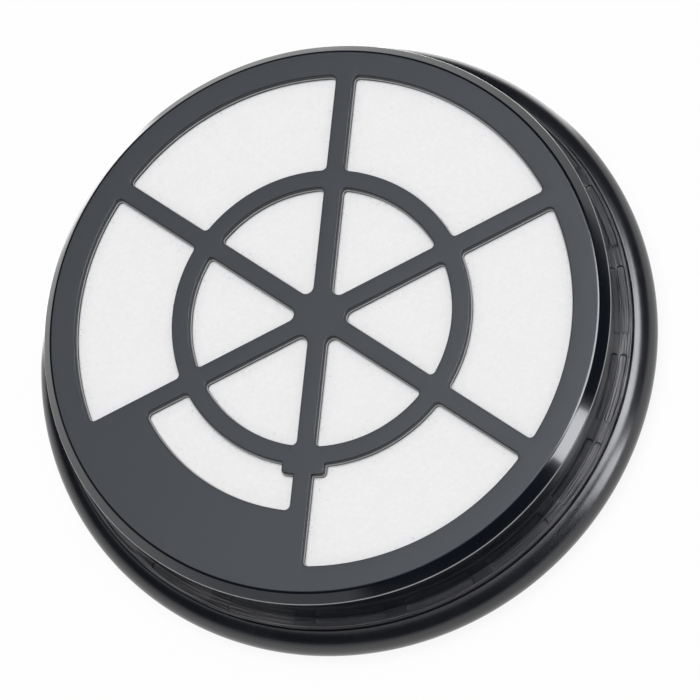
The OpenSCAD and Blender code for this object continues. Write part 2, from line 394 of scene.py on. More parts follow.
@dataclass(frozen=True)
class Nonwoven(Finish):
    """White nonwoven: crossing fibres, thicker and thinner clouds."""

    fibre: float = 0.12
    relief: float = 0.05
    bar_half: float = 2.25
    spoke_turns: tuple[float, ...] = (30.0, 90.0, 150.0)
    ring_mid: float = 35.55
    window: float = 63.0
    # Tint by the bars: partly dust, partly painted shade.
    bar_dust_and_shade: tuple[float, float, float] = (0.7, 0.715, 0.76)

    def _from_edge(self, sheet: NodeSheet) -> Wire:
        """Distance in millimetres from the nearest bar of the grille."""
        x, y, _ = sheet.split(sheet.place((1 / MM,) * 3))
        radius = sheet.radius() * (1 / MM)
        off_ring = (radius - self.ring_mid).higher_of(self.ring_mid - radius) - self.bar_half
        nearest = off_ring.lower_of(self.window - radius)
        for turn in self.spoke_turns:
            along_x, along_y = polar(1.0, turn + 90)
            off = x * along_x + y * along_y
            nearest = nearest.lower_of(off.higher_of(off * -1.0) - self.bar_half)
        return nearest

    def surface(self, sheet: NodeSheet) -> dict[str | int, Any]:
        """Two sets of long fibres over soft clouds, with specks by the grille's bars and a darker tint there that is
        partly dust and partly painted shade.

        Args:
            sheet: The material's node tree.

        Returns:
            Base Color, Roughness and Normal.
        """
        where = sheet.place()
        cloud = sheet.noise(where, 5.0, 4.0, 0.5)
        mottle = sheet.noise(where, 1.1, 3.0, 0.8)
        along = sheet.noise(sheet.place((1.0, 0.16, 1.0)), self.fibre, 2.0, 1.2)
        across = sheet.noise(sheet.place((0.16, 1.0, 1.0)), self.fibre, 2.0, 1.2)
        mat = along.higher_of(across)
        pits = sheet.noise(where, 0.45, 2.0).ramp(0.62, 0.74)
        near = self._from_edge(sheet).ramp(3.2, 0.3)
        specks = (sheet.noise(where, 0.6, 1.0, 0.6) + near * 0.12).ramp(0.76, 0.8)
        dim = tuple(c * 0.88 for c in self.colour)
        shade = (cloud * 0.35 + mottle * 0.85 + mat * 0.4 - pits * 0.3).lower_of(1.0)
        white = sheet.tint(shade, dim, self.colour)
        # Darker tint near the bars: partly dust, partly painted shade cast by the bars.
        white = sheet.tint(near * cloud * 0.6, white, self.bar_dust_and_shade)
        return {
            "Base Color": sheet.tint(specks * 0.3, white, (0.3, 0.29, 0.28)),
            "Roughness": self.roughness + (mat - 0.5) * 0.08,
            "Normal": sheet.bump(mat - pits * 0.5, self.relief, 1.0, sheet.bump(cloud, 0.12)),
        }


@dataclass(frozen=True)
class FilterPaper(Finish):
    """Off-white fibre paper with a faint grain along the folds."""

    def surface(self, sheet: NodeSheet) -> dict[str | int, Any]:
        """Mottled fibres with a faint grain along the folds.

        Args:
            sheet: The material's node tree.

        Returns:
            Base Color, Roughness and Normal.
        """
        where = sheet.place()
        mottle = sheet.noise(where, 1.6, 4.0, 0.4)
        fibres = sheet.noise(sheet.place((1.0, 0.2, 1.0)), 0.2, 3.0, 1.0)
        dim = tuple(c * 0.93 for c in self.colour)
        return {
            "Base Color": sheet.tint(mottle * 0.6 + fibres * 0.5, dim, self.colour),
            "Roughness": self.roughness + (fibres - 0.5) * 0.1,
            "Normal": sheet.bump(fibres * 0.6 + mottle * 0.4, 0.08),
        }


@dataclass(frozen=True)
class CastAdhesive(Finish):
    """Cream adhesive with a slow ripple, small bubbles and a soft shine."""

    ripple: float = 3.0

    def surface(self, sheet: NodeSheet) -> dict[str | int, Any]:
        """Ripples and a few bubbles.

        Args:
            sheet: The material's node tree.

        Returns:
            Base Color, Roughness and Normal.
        """
        where = sheet.place()
        flow = sheet.noise(where, self.ripple, 2.0, 0.5)
        bubbles = sheet.noise(where, 0.7, 1.0).ramp(0.7, 0.78)
        dim = tuple(c * 0.88 for c in self.colour)
        return {
            "Base Color": sheet.tint(flow, dim, self.colour),
            "Roughness": self.roughness + (flow - 0.5) * 0.2,
            "Normal": sheet.bump(flow - bubbles * 0.6, 0.12),
        }


# Modelling moves


class Bench:
    """Moves that every piece is modelled with."""

    @staticmethod
    def take(*objects: bpy.types.Object) -> bpy.types.Object:
        """Selects only these objects; the first becomes the active one.

        Args:
            objects: What to select.

        Returns:
            The active object.
        """
        bpy.ops.object.select_all(action="DESELECT")
        for item in objects:
            item.select_set(True)
        bpy.context.view_layer.objects.active = objects[0]
        return objects[0]

    @staticmethod
    @contextmanager
    def editing(obj: bpy.types.Object, mode: SelectBy = SelectBy.EDGES) -> Iterator[bpy.types.Mesh]:
        """Edit mode on one object, with what was marked in its mesh selected.

        Args:
            obj: The mesh object.
            mode: What the selection is made of.

        Yields:
            The object's mesh.
        """
        Bench.take(obj)
        bpy.context.tool_settings.mesh_select_mode = (False, mode is SelectBy.EDGES, mode is SelectBy.FACES)
        bpy.ops.object.mode_set(mode="EDIT")
        try:
            yield obj.data
        finally:
            bpy.ops.object.mode_set(mode="OBJECT")

    @staticmethod
    def mark_nothing(mesh: bpy.types.Mesh) -> None:
        """Clears every mark in a mesh."""
        for part in (mesh.vertices, mesh.edges, mesh.polygons):
            part.foreach_set("select", [False] * len(part))

    @staticmethod
    def mark_edges(obj: bpy.types.Object, test: Callable[[Vector, Vector], bool]) -> int:
        """Marks the edges whose two ends pass a test, in millimetres.

        Args:
            obj: The mesh object.
            test: Takes an edge's two ends.

        Returns:
            How many were marked.
        """
        mesh = obj.data
        Bench.mark_nothing(mesh)
        count = 0
        for edge in mesh.edges:
            first, second = (mesh.vertices[i].co / MM for i in edge.vertices)
            if test(first, second):
                edge.select = True
                count += 1
        return count

    @staticmethod
    def mark_faces(obj: bpy.types.Object, test: Callable[[Vector, Vector], bool]) -> int:
        """Marks the faces whose centre in millimetres and normal pass a test.

        Args:
            obj: The mesh object.
            test: Takes a face's centre and its normal.

        Returns:
            How many were marked.
        """
        mesh = obj.data
        Bench.mark_nothing(mesh)
        count = 0
        for face in mesh.polygons:
            if test(face.center / MM, face.normal):
                face.select = True
                count += 1
        return count

    @staticmethod
    def weld(obj: bpy.types.Object, outwards: bool = True) -> None:
        """Merges doubled points and, on a closed piece, turns all faces outwards."""
        with Bench.editing(obj):
            bpy.ops.mesh.select_all(action="SELECT")
            bpy.ops.mesh.remove_doubles(threshold=0.002 * MM)
            if outwards:
                bpy.ops.mesh.normals_make_consistent(inside=False)

    @staticmethod
    def mark_keys(obj: bpy.types.Object, keys: set[tuple[int, int]]) -> None:
        """Marks the edges with these pairs of points."""
        Bench.mark_nothing(obj.data)
        for edge in obj.data.edges:
            edge.select = edge.key in keys

    @staticmethod
    def refill(obj: bpy.types.Object, z: float) -> None:
        """Fills the flat at height z anew inside its outlines, after rounds were cut along them.

        Args:
            obj: The mesh object.
            z: Height of the flat in millimetres.
        """
        points = obj.data.vertices
        Bench.mark_nothing(obj.data)
        uses: dict[tuple[int, int], int] = {}
        for face in obj.data.polygons:
            if all(abs(points[i].co.z / MM - z) < 0.002 for i in face.vertices):
                face.select = True
                for key in face.edge_keys:
                    uses[key] = uses.get(key, 0) + 1
        with Bench.editing(obj, SelectBy.FACES):
            bpy.ops.mesh.delete(type="ONLY_FACE")
        Bench.mark_keys(obj, {key for key, count in uses.items() if count > 1})
        with Bench.editing(obj):
            bpy.ops.mesh.delete(type="EDGE")
        Bench.mark_keys(obj, {key for key, count in uses.items() if count == 1})
        with Bench.editing(obj):
            bpy.ops.mesh.fill(use_beauty=True)
            bpy.ops.mesh.select_all(action="SELECT")
            bpy.ops.mesh.delete_loose()

    @staticmethod
    def join(*objects: bpy.types.Object) -> bpy.types.Object:
        """Joins objects into the first."""
        Bench.take(*objects)
        bpy.ops.object.join()
        return objects[0]

    @staticmethod
    def apply(obj: bpy.types.Object, kind: str, **settings: Any) -> None:
        """Adds one modifier and applies it.

        Args:
            obj: The object.
            kind: The modifier's type.
            settings: Its properties.
        """
        Bench.take(obj)
        bpy.ops.object.modifier_add(type=kind)
        modifier = obj.modifiers[-1]
        for name, value in settings.items():
            setattr(modifier, name, value)
        bpy.ops.object.modifier_apply(modifier=modifier.name)

    @staticmethod
    def smooth(obj: bpy.types.Object, angle: float) -> None:
        """Smooth shading up to an angle in degrees between faces, with broad faces kept flat."""
        Bench.take(obj)
        bpy.ops.object.shade_smooth_by_angle(angle=math.radians(angle))
        Bench.apply(obj, "WEIGHTED_NORMAL", mode="FACE_AREA", weight=100, keep_sharp=True)

    @staticmethod
    def turned(name: str, profile: Sequence[Point], steps: int, closed: bool) -> bpy.types.Object:
        """Spins a profile of (radius, height) round the axis.

        Args:
            name: The new object's name.
            profile: Points in millimetres.
            steps: How many stretches make the full turn.
            closed: Whether the last point joins the first.

        Returns:
            The turned object.
        """
        bpy.ops.object.select_all(action="DESELECT")
        mesh = bpy.data.meshes.new(name)
        count = len(profile)
        edges = [(i, (i + 1) % count) for i in range(count if closed else count - 1)]
        mesh.from_pydata([(r * MM, 0.0, z * MM) for r, z in profile], edges, [])
        obj = bpy.data.objects.new(name, mesh)
        bpy.context.collection.objects.link(obj)
        with Bench.editing(obj):
            bpy.ops.mesh.select_all(action="SELECT")
            bpy.ops.mesh.spin(steps=steps, angle=math.tau, center=(0, 0, 0), axis=(0, 0, 1))
            bpy.ops.mesh.select_all(action="SELECT")
            bpy.ops.mesh.remove_doubles(threshold=0.002 * MM)
            if closed:
                bpy.ops.mesh.normals_make_consistent(inside=False)
        return obj

    @staticmethod
    def flat_cut(name: str, loops: Sequence[Loop], half_thickness: float, z: float) -> bpy.types.Object:
        """A flat sheet cut to outlines, the first outside and the rest holes.

        Args:
            name: The new object's name.
            loops: Closed outlines in millimetres.
            half_thickness: Half the sheet's thickness, or 0 for a bare face.
            z: Height of the sheet's middle.

        Returns:
            The sheet as a mesh object at the origin.
        """
        outline = bpy.data.curves.new(name, "CURVE")
        outline.dimensions = "2D"
        outline.fill_mode = "BOTH" if half_thickness else "FRONT"
        outline.extrude = half_thickness * MM
        for loop in loops:
            spline = outline.splines.new("POLY")
            spline.points.add(len(loop) - 1)
            for point, (x, y) in zip(spline.points, loop):
                point.co = (x * MM, y * MM, 0.0, 1.0)
            spline.use_cyclic_u = True
        obj = bpy.data.objects.new(name, outline)
        bpy.context.collection.objects.link(obj)
        obj.location.z = z * MM
        Bench.take(obj)
        bpy.ops.object.convert(target="MESH")
        bpy.ops.object.transform_apply(location=True, rotation=True, scale=True)
        obj = bpy.context.view_layer.objects.active
        Bench.weld(obj, outwards=bool(half_thickness))
        return obj

    @staticmethod
    def finish(obj: bpy.types.Object, finish: Finish, slot: str, *nodes: str) -> bpy.types.Object:
        """Dresses a piece and hangs it on the part.

        Args:
            obj: The piece.
            finish: Its surface.
            slot: The record's material slot; not used.
            nodes: The solids that it stands for.

        Returns:
            The piece.
        """
        obj.data.materials.clear()
        obj.data.materials.append(finish.material())
        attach(obj, BODY)
        if nodes:
            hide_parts(*nodes)
        LOG.info("%s: %d faces, %s", obj.name, len(obj.data.polygons), finish.name)
        return obj


# Outlines


def polar(radius: float, degrees: float) -> Point:
    """A point at that radius and angle."""
    turn = math.radians(degrees)
    return radius * math.cos(turn), radius * math.sin(turn)


def ring_points(radius: float, count: int, start: float = 0.0) -> Loop:
    """Points all round a circle."""
    return [polar(radius, start + 360 * i / count) for i in range(count)]


def arc(centre: Point, radius: float, start: float, end: float, step: float) -> Loop:
    """Points on an arc, both ends included.

    Args:
        centre: The arc's centre.
        radius: Its radius.
        start: First angle in degrees.
        end: Last angle in degrees.
        step: About how many degrees lie between points.

    Returns:
        The points.
    """
    count = max(2, round(abs(end - start) / step) + 1)
    angles = [start + (end - start) * i / (count - 1) for i in range(count)]
    return [(centre[0] + polar(radius, a)[0], centre[1] + polar(radius, a)[1]) for a in angles]


def shortest_arc(centre: Point, radius: float, start: float, end: float, step: float) -> Loop:
    """An arc from start to end by the shorter way round."""
    turn = (end - start + 180) % 360 - 180
    return arc(centre, radius, start, start + turn, step)


def heading(vector: Point) -> float:
    """A vector's angle in degrees."""
    return math.degrees(math.atan2(vector[1], vector[0]))


def moved(points: Loop, degrees: float, mirrored: bool = False) -> Loop:
    """Points turned about the origin, after an optional flip over the X axis."""
    turn = math.radians(degrees)
    cos, sin = math.cos(turn), math.sin(turn)
    flip = -1 if mirrored else 1
    return [(x * cos - flip * y * sin, x * sin + flip * y * cos) for x, y in points]


@dataclass
class GrilleOutline:
    """Windows of the grille, as outlines in plan."""

    spokes: int = 6
    spoke_half: float = 2.25
    ring_in: float = 33.3
    ring_out: float = 37.8
    window: float = 63.0
    narrow_window: float = 49.5
    hub_fillet: float = 2.0
    ring_fillet: float = 1.3
    window_fillet: float = 1.4
    pad_half: float = 5.35
    pad_out: float = 40.4
    pad_fillet: float = 0.9
    pad_angle: float = -90.0
    arc_step: float = 1.2
    fillet_step: float = 9.0

    @property
    def half_gap(self) -> float:
        """Half the angle between two spokes."""
        return 180 / self.spokes

    def _corner(self, radius: float, fillet: float, outside: bool) -> tuple[Loop, float]:
        """Rounding between the lower spoke's edge and an arc, in the window's own frame.

        Args:
            radius: The arc's radius.
            fillet: The rounding's radius.
            outside: Whether the window lies outside the arc.

        Returns:
            The rounding from the spoke's edge to the arc, and the arc's angle there in degrees.
        """
        off = self.spoke_half + fillet
        reach = radius + fillet if outside else radius - fillet
        centre = moved([(math.sqrt(reach**2 - off**2), off)], -self.half_gap)[0]
        to_edge = -self.half_gap - 90
        to_arc = heading(centre) + (180 if outside else 0)
        return shortest_arc(centre, fillet, to_edge, to_arc, self.fillet_step), heading(centre)

    def _pad_side(self) -> Loop:
        """Way round the pad, from the spoke's edge to the ring, in the window's own frame."""
        inner = self.pad_out - self.pad_fillet
        off = self.pad_half - self.pad_fillet
        centre = (math.sqrt(inner**2 - off**2), off)
        start = (math.sqrt(self.pad_out**2 - self.spoke_half**2), self.spoke_half)
        top = arc((0.0, 0.0), self.pad_out, heading(start), heading(centre), self.arc_step)
        corner = shortest_arc(centre, self.pad_fillet, heading(centre), 90.0, self.fillet_step)
        foot = (math.sqrt(self.ring_out**2 - self.pad_half**2), self.pad_half)
        return moved([*top, *corner[1:], foot], -self.half_gap)

    def _lower_half(self, outer: float, pad: bool) -> Loop:
        """Lower half of an outer window, from its inner arc's middle to its outer arc's middle.

        Args:
            outer: Radius of the outer arc.
            pad: Whether the pad stands at the lower spoke.

        Returns:
            The points.
        """
        if pad:
            side = self._pad_side()
            inner_angle = heading(side[-1])
            inner_end = side[::-1]
        else:
            corner, inner_angle = self._corner(self.ring_out, self.window_fillet, True)
            inner_end = corner[::-1]
        inner_arc = arc((0.0, 0.0), self.ring_out, 0.0, inner_angle, self.arc_step)
        corner, outer_angle = self._corner(outer, self.window_fillet, False)
        outer_arc = arc((0.0, 0.0), outer, outer_angle, 0.0, self.arc_step)
        return [*inner_arc[:-1], *inner_end, *corner, *outer_arc[1:]]

    def outer_window(self, index: int) -> Loop:
        """Outline of the window between the ring and the rim, counted from the pad's spoke."""
        blank = index == self.spokes - 1
        outer = self.narrow_window if blank else self.window
        lower = self._lower_half(outer, index == 0)
        upper = moved(self._lower_half(outer, blank), 0.0, mirrored=True)
        loop = [*lower, *upper[::-1][1:-1]]
        return moved(loop, self.pad_angle + (2 * index + 1) * self.half_gap)

    def inner_window(self, index: int) -> Loop:
        """Outline of the window between the hub and the ring, counted from the pad's spoke."""
        centre = ((self.spoke_half + self.hub_fillet) / math.sin(math.radians(self.half_gap)), 0.0)
        hub = arc(centre, self.hub_fillet, 180.0, 270.0 - self.half_gap, self.fillet_step)
        corner, angle = self._corner(self.ring_in, self.ring_fillet, False)
        outer = arc((0.0, 0.0), self.ring_in, angle, 0.0, self.arc_step)
        lower = [*hub, *corner, *outer[1:]]
        upper = moved(lower, 0.0, mirrored=True)
        loop = [*lower, *upper[::-1][1:-1]]
        return moved(loop, self.pad_angle + (2 * index + 1) * self.half_gap)

    def windows(self) -> list[Loop]:
        """All windows."""
        return [make(i) for i in range(self.spokes) for make in (self.inner_window, self.outer_window)]


# Pieces


@dataclass
class HousingMoulding:
    """Grille, chamfer, wall and ribbed collar in one dark moulding."""

    grille: GrilleOutline = field(default_factory=GrilleOutline)
    steps: int = 360
    seam: float = 66.0
    face_z: float = 30.2
    plate: float = 2.2
    face_r: float = 69.5
    wall_r: float = 72.0
    inner_r: float = 70.0
    seat_r: float = 71.2
    plate_r: float = 68.0
    chamfer_z: float = 27.55
    face_edge: float = 1.2
    chamfer_edge: float = 0.75
    window_edge: float = 0.28
    ledge: float = 0.3
    ledge_z: float = 28.75
    ledge_fall: float = 0.02
    collar_z: float = 12.95
    collar_r: float = 74.75
    step_r: float = 74.35
    step_z: float = 12.5
    flange_z: float = 9.2
    skirt_z: float = 1.0
    slot_floor: float = 12.35
    groove_mid: float = 73.1
    groove_half: float = 0.9
    slot_edge: float = 0.14
    slot_round: float = 0.2
    ribs: int = 20
    rib_width: float = 5.3
    finish: Finish = MouldedPlastic("housing_plastic", (0.0035, 0.0052, 0.0092), 0.12)

    def _rounded_edges(self) -> Loop:
        """Face edge and chamfer, from the face down to the wall, with both edges rounded."""
        slope = math.degrees(math.atan2(self.face_z - self.chamfer_z, self.wall_r - self.face_r))
        cut_top = self.face_edge * math.tan(math.radians(slope / 2))
        cut_low = self.chamfer_edge * math.tan(math.radians((90 - slope) / 2))
        top = arc((self.face_r - cut_top, self.face_z - self.face_edge), self.face_edge, 90.0, 90.0 - slope, 12.0)
        low = arc((self.wall_r - self.chamfer_edge, self.chamfer_z - cut_low), self.chamfer_edge, 90.0 - slope, 0.0, 12.0)
        return [*top, *low]

    def _shell(self) -> bpy.types.Object:
        """Everything that is turned, open where the plate and the collar's top go."""
        above = [(self.seam, self.face_z), *self._rounded_edges(), (self.wall_r, self.collar_z)]
        lip = arc((self.collar_r - 0.12, self.step_z - 0.12), 0.12, 90.0, 0.0, 30.0)
        below = [
            (self.step_r, self.collar_z),
            (self.step_r, self.step_z),
            *lip,
            (self.collar_r, self.flange_z),
            (self.seat_r, self.flange_z),
            (self.seat_r, self.skirt_z + 0.3),
            (self.seat_r - 0.3, self.skirt_z),
            (self.inner_r + 0.3, self.skirt_z),
            (self.inner_r, self.skirt_z + 0.3),
            (self.inner_r, self.face_z - self.plate - (self.inner_r - self.plate_r)),
            (self.plate_r, self.face_z - self.plate),
            (self.seam, self.face_z - self.plate),
        ]
        return Bench.join(
            Bench.turned("housing_wall", above, self.steps, closed=False),
            Bench.turned("housing_inside", below, self.steps, closed=False),
        )

    def _plate(self) -> bpy.types.Object:
        """The grille plate inside the seam, with rounded window edges."""
        loops = [ring_points(self.seam, self.steps), *self.grille.windows()]
        plate = Bench.flat_cut("housing_grille", loops, self.plate / 2, self.face_z - self.plate / 2)
        limit = self.seam - 0.3
        Bench.mark_faces(plate, lambda c, n: abs(n.z) < 0.5 and math.hypot(c.x, c.y) > limit)
        with Bench.editing(plate, SelectBy.FACES):
            bpy.ops.mesh.delete(type="ONLY_FACE")
        walls: set[tuple[int, int]] = set()
        for face in plate.data.polygons:
            if abs(face.normal.z) < 0.5:
                walls.update(face.edge_keys)
        top = (self.face_z - 0.01) * MM
        points = plate.data.vertices
        Bench.mark_nothing(plate.data)
        for edge in plate.data.edges:
            edge.select = edge.key in walls and all(points[i].co.z > top for i in edge.vertices)
        with Bench.editing(plate):
            bpy.ops.mesh.bevel(
                offset=self.window_edge * MM, segments=3, affect="EDGES", loop_slide=False, clamp_overlap=False
            )
        Bench.refill(plate, self.face_z)
        self._step_windows(plate)
        return plate

    def _step_windows(self, plate: bpy.types.Object) -> None:
        """Draws the foot of every window's sides in, which leaves a narrow ledge above it."""
        for level in (self.ledge_z, self.ledge_z - self.ledge_fall):
            Bench.mark_faces(plate, lambda centre, normal: abs(normal.z) < 0.1)
            with Bench.editing(plate, SelectBy.FACES):
                bpy.ops.mesh.bisect(plane_co=(0, 0, level * MM), plane_no=(0, 0, 1), threshold=1e-7)
        points = plate.data.vertices
        foot = (self.ledge_z - self.ledge_fall / 2) * MM
        facing: dict[int, list[Vector]] = {}
        for face in plate.data.polygons:
            if abs(face.normal.z) < 0.1:
                for index in face.vertices:
                    if points[index].co.z < foot:
                        facing.setdefault(index, []).append(face.normal.copy())
        for index, normals in facing.items():
            way = sum(normals, Vector()).normalized()
            points[index].co += way * (self.ledge * MM / max(way.dot(normals[0]), 0.5))

    @property
    def pitch(self) -> float:
        """Angle from one rib to the next."""
        return 360 / self.ribs

    def _slot(self) -> Loop:
        """Outline of the recess between the first two ribs of the collar."""
        margin = math.degrees((self.rib_width / 2 + self.groove_half) / self.groove_mid)
        start, end = margin, self.pitch - margin
        outer = arc((0.0, 0.0), self.groove_mid + self.groove_half, start, end, 1.2)
        cap_end = arc(polar(self.groove_mid, end), self.groove_half, end, end + 180, 18.0)
        inner = arc((0.0, 0.0), self.groove_mid - self.groove_half, end, start, 1.2)
        cap_start = arc(polar(self.groove_mid, start), self.groove_half, start + 180, start + 360, 18.0)
        return [*outer[:-1], *cap_end[:-1], *inner[:-1], *cap_start[:-1]]

    def _rim_stretch(self) -> bpy.types.Object:
        """The collar's top from one rib's middle to the next, with its recess rounded above and below."""
        step = 360 / self.steps
        outline = arc((0.0, 0.0), self.step_r, 0.0, self.pitch, step)
        outline += arc((0.0, 0.0), self.wall_r, self.pitch, 0.0, step)
        stretch = Bench.flat_cut("housing_rim", [outline, self._slot()], 0.0, self.collar_z)
        inside = self.wall_r + 0.1
        outside = self.step_r - 0.1
        counts: dict[tuple[int, int], int] = {}
        for face in stretch.data.polygons:
            for key in face.edge_keys:
                counts[key] = counts.get(key, 0) + 1
        Bench.mark_edges(stretch, lambda a, b: all(inside < math.hypot(end.x, end.y) < outside for end in (a, b)))
        for edge in stretch.data.edges:
            edge.select = edge.select and counts.get(edge.key, 0) == 1
        with Bench.editing(stretch):
            bpy.ops.mesh.extrude_edges_move(
                TRANSFORM_OT_translate={"value": (0.0, 0.0, (self.slot_floor - self.collar_z) * MM)}
            )
            bpy.ops.mesh.fill(use_beauty=True)
        self._round_slots(stretch)
        Bench.refill(stretch, self.collar_z)
        return stretch

    def _rim(self) -> bpy.types.Object:
        """The collar's top ring: one stretch, copied round the axis."""
        first = self._rim_stretch()
        stretches = [first]
        for index in range(1, self.ribs):
            stretch = bpy.data.objects.new("housing_rim", first.data.copy())
            bpy.context.collection.objects.link(stretch)
            stretch.data.transform(Matrix.Rotation(math.radians(index * self.pitch), 4, "Z"))
            stretches.append(stretch)
        rim = Bench.join(*stretches)
        Bench.weld(rim, outwards=False)
        return rim

    def _round_slots(self, rim: bpy.types.Object) -> None:
        """Rounds the foot and the top edge of every recess."""
        inside, outside = self.wall_r + 0.1, self.step_r - 0.1
        for height, radius, segments in ((self.slot_floor, self.slot_round, 4), (self.collar_z, self.slot_edge, 3)):
            walls: set[tuple[int, int]] = set()
            for face in rim.data.polygons:
                if abs(face.normal.z) < 0.5:
                    walls.update(face.edge_keys)
            level = height * MM
            points = rim.data.vertices
            Bench.mark_nothing(rim.data)
            for edge in rim.data.edges:
                ends = [points[i].co for i in edge.vertices]
                edge.select = (
                    edge.key in walls
                    and all(abs(end.z - level) < 0.001 * MM for end in ends)
                    and all(inside < math.hypot(end.x, end.y) / MM < outside for end in ends)
                )
            with Bench.editing(rim):
                bpy.ops.mesh.bevel(
                    offset=radius * MM, segments=segments, affect="EDGES", loop_slide=False, clamp_overlap=False
                )

    def build(self) -> bpy.types.Object:
        """Models the moulding.

        Returns:
            The piece, with closed seams from plate and collar to shell.
        """
        housing = Bench.join(self._shell(), self._plate(), self._rim())
        Bench.weld(housing)
        housing.name = housing.data.name = "housing_moulding"
        Bench.smooth(housing, 35.0)
        return Bench.finish(housing, self.finish, "housing_plastic", "front_frame")


@dataclass
class SealRing:
    """Fat rubber ring round the foot of the wall."""

    middle_r: float = 74.1
    radius: float = 5.9
    flat: float = 0.4
    seat_r: float = 71.2
    flange_z: float = 9.2
    gap_r: float = 75.0
    lip: float = 0.18
    steps: int = 360
    finish: Finish = SealRubber("seal_rubber", (0.006, 0.0064, 0.0092), 0.24, 0.75)

    def build(self) -> bpy.types.Object:
        """Models the ring.

        Returns:
            The piece.
        """
        height = self.radius - self.flat
        reach = math.sqrt(self.radius**2 - height**2)
        land_end = math.degrees(math.atan2(-height, reach))
        lip_angle = math.degrees(math.acos((self.gap_r + self.lip - self.middle_r) / self.radius))
        outside = arc((self.middle_r, height), self.radius, lip_angle, land_end, 5.0)
        profile = [
            (self.gap_r, self.flange_z),
            (self.gap_r, outside[0][1] - self.lip),
            (self.gap_r + 0.3 * self.lip, outside[0][1] - 0.3 * self.lip),
            *outside,
            (self.seat_r + 0.3, 0.0),
            (self.seat_r, 0.3),
            (self.seat_r, self.flange_z),
        ]
        ring = Bench.turned("seal_rubber_ring", profile, self.steps, closed=True)
        Bench.smooth(ring, 40.0)
        return Bench.finish(ring, self.finish, "seal_rubber", "seal_ring")


@dataclass
class CoverFleece:
    """White disc behind the grille, which gives a little between the spokes."""

    radius: float = 67.8
    top_z: float = 27.8
    thickness: float = 0.75
    slack: float = 0.32
    grille: GrilleOutline = field(default_factory=GrilleOutline)
    finish: Finish = Nonwoven("white_fleece", (0.845, 0.84, 0.84), 0.85)

    def _sink(self, x: float, y: float) -> float:
        """How far the fleece lies under the plate at a place, in millimetres."""
        radius, angle = math.hypot(x, y), heading((x, y)) - self.grille.pad_angle
        between = abs(math.sin(math.radians(angle) * self.grille.spokes / 2))
        inner, outer = self.grille.ring_in, self.grille.window
        field_of = math.sin(math.pi * min(max((radius - inner) / (outer - inner), 0.0), 1.0))
        middle = math.sin(math.pi * min(radius / inner, 1.0))
        wave = 0.5 + 0.5 * math.sin(0.31 * x + 0.9) * math.cos(0.27 * y - 0.4)
        return self.slack * between * (0.45 + 0.55 * wave) * max(field_of, middle * 0.7)

    def build(self) -> bpy.types.Object:
        """Models the disc.

        Returns:
            The piece.
        """
        bpy.ops.object.select_all(action="DESELECT")
        bpy.ops.mesh.primitive_circle_add(vertices=180, radius=self.radius * MM, fill_type="NGON", location=(0, 0, 0))
        disc = bpy.context.view_layer.objects.active
        disc.name = disc.data.name = "cover_fleece_disc"
        with Bench.editing(disc, SelectBy.FACES):
            bpy.ops.mesh.select_all(action="SELECT")
            for _ in range(44):
                bpy.ops.mesh.inset(thickness=1.5 * MM)
        for vertex in disc.data.vertices:
            x, y = vertex.co.x / MM, vertex.co.y / MM
            vertex.co.z = (self.top_z - 0.02 - self._sink(x, y)) * MM
        Bench.apply(disc, "SOLIDIFY", thickness=self.thickness * MM, offset=-1.0)
        Bench.smooth(disc, 40.0)
        Bench.finish(disc, self.finish, "fleece", "cover_fleece")
        width = 2 * self.radius * MM
        math.pi * width**2 / 4
        return disc


@dataclass
class PleatedPack:
    """Fibre sheet folded into a round pack."""

    radius: float = 66.0
    low_z: float = 3.6
    high_z: float = 26.6
    pitch: float = 3.6
    thickness: float = 0.45
    tip: float = 0.42
    rows: int = 14
    finish: Finish = FilterPaper("filter_paper", (0.8, 0.79, 0.755), 0.8)

    @property
    def count(self) -> int:
        """Number of pleats."""
        return int((2 * self.radius - 1.3) // self.pitch)

    def tips(self) -> list[float]:
        """Places of the upper tips."""
        return [(i - (self.count - 1) / 2) * self.pitch for i in range(self.count)]

    def _fold_line(self) -> Loop:
        """Middle of the sheet across the pleats, with round folds."""
        half = self.thickness / 2
        low, high = self.low_z + half, self.high_z - half
        line: Loop = [(-self.radius + 0.02, low)]
        for x in self.tips():
            line += arc((x - self.pitch / 2, low + self.tip), self.tip, 290.0, 355.0, 22.0)
            line += arc((x, high - self.tip), self.tip, 175.0, 5.0, 28.0)
            line += arc((x + self.pitch / 2, low + self.tip), self.tip, 185.0, 250.0, 22.0)
        line.append((self.radius - 0.02, low))
        return line

    def build(self) -> bpy.types.Object:
        """Models the pack.

        Returns:
            The piece.
        """
        line = self._fold_line()
        rows = self.rows + 1
        verts = []
        for row in range(rows):
            along = 2 * row / self.rows - 1
            for i, (x, z) in enumerate(line):
                chord = math.sqrt(max(self.radius**2 - x * x, 0.01))
                sway = 0.16 * math.sin(2.3 * along + 0.05 * i) * math.sin(0.021 * i) * (1 - along * along)
                verts.append(((x + sway) * MM, along * chord * MM, z * MM))
        width = len(line)
        faces = [
            (r * width + i, r * width + i + 1, (r + 1) * width + i + 1, (r + 1) * width + i)
            for r in range(rows - 1)
            for i in range(width - 1)
        ]
        mesh = bpy.data.meshes.new("pleated_pack")
        mesh.from_pydata(verts, [], faces)
        pack = bpy.data.objects.new("pleated_pack", mesh)
        bpy.context.collection.objects.link(pack)
        Bench.apply(pack, "SOLIDIFY", thickness=self.thickness * MM, offset=0.0)
        Bench.smooth(pack, 50.0)
        return Bench.finish(pack, self.finish, "media", "pleated_media")


